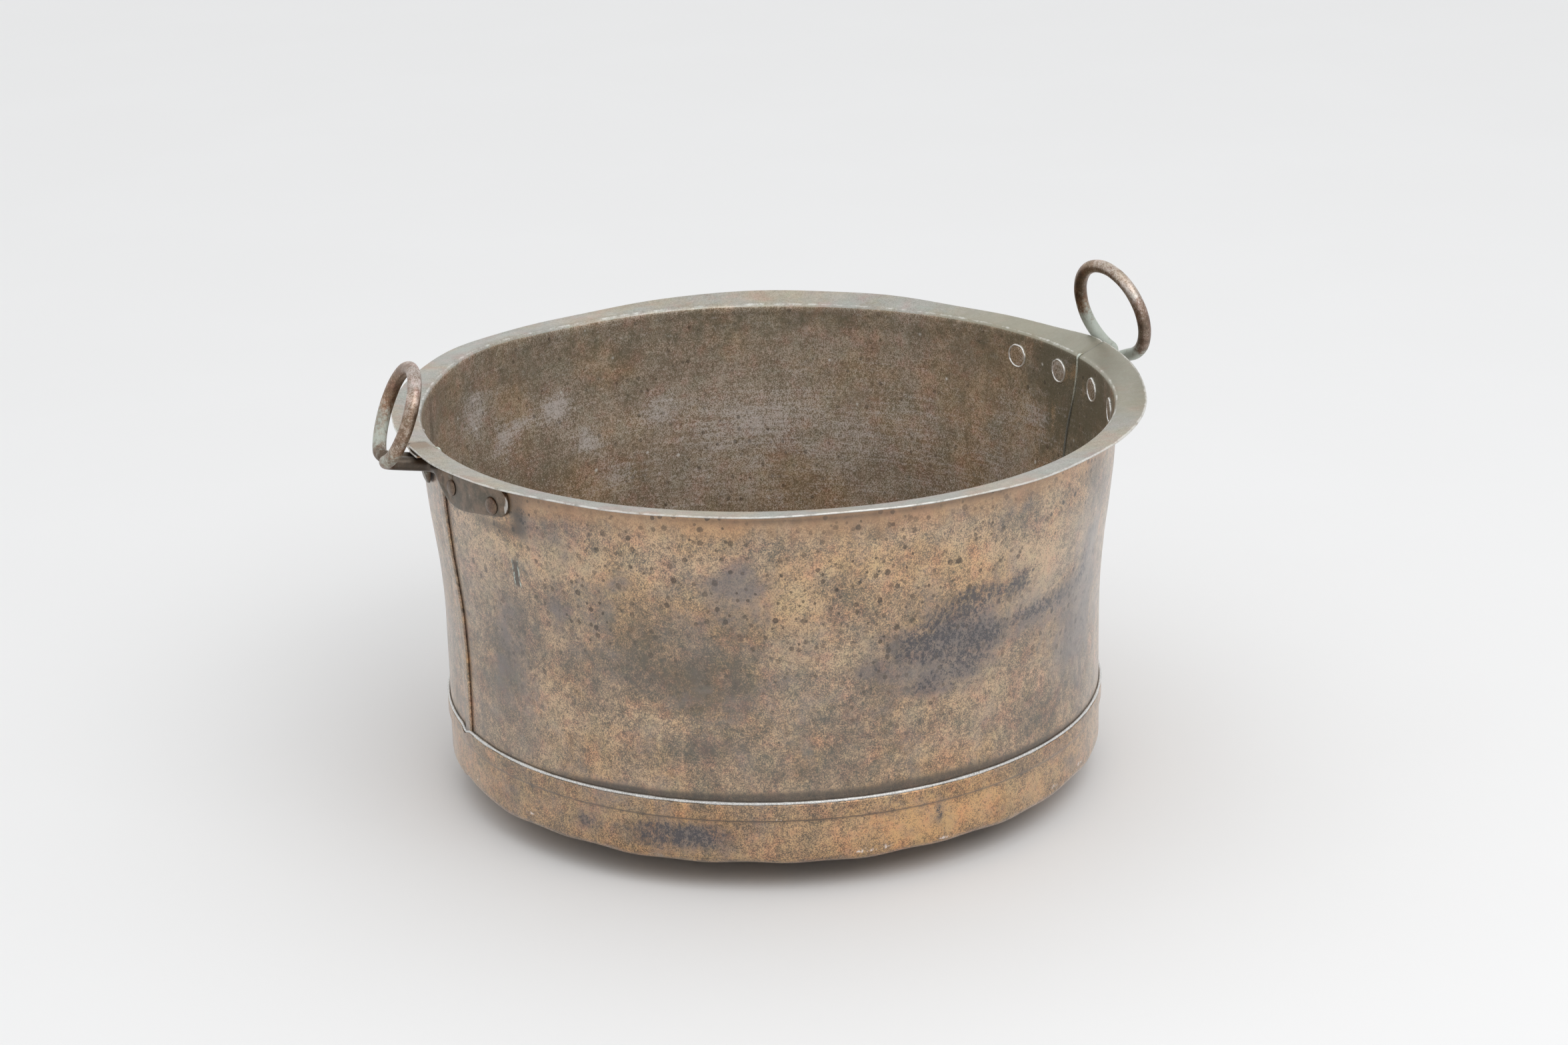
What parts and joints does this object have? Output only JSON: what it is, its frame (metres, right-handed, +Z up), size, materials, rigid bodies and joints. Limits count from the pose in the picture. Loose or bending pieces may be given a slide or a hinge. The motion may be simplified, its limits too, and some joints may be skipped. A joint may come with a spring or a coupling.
{
  "type": "copper wash tub",
  "caption": "Round open tub of aged sheet copper with a turned-out rim, a soldered bottom pan and riveted ring handles for lifting.",
  "frame": {"origin": "on the floor, at the middle of the flat that the tub stands on", "axes": "+Z up along the tub's axis, +X out through the right handle, -Y towards the front half of the wall"},
  "size_m": [0.6968, 0.64, 0.4158],
  "materials": {
    "aged_copper": "aged satin copper with brown patina, dark stains and specks",
    "pan_copper": "aged satin copper, scratched at the lower edge",
    "handle_copper": "dark brown copper, polished by use, with some verdigris at the feet",
    "rivet_copper": "hammered brown copper",
    "solder": "bright soft solder",
    "braze": "dull greenish braze",
    "tin": "dull silvery tin"
  },
  "bodies": {
    "root": {"front_wall": "aged_copper", "rear_wall": "aged_copper", "bottom_pan": "pan_copper", "bottom_seam_solder": "solder", "left_seam_braze": "braze", "right_seam_braze": "braze", "left_handle": "handle_copper", "right_handle": "handle_copper", "left_handle_rivets": "rivet_copper", "right_handle_rivets": "rivet_copper", "left_rivet_tin": "tin", "right_rivet_tin": "tin"}
  },
  "joints": []
}
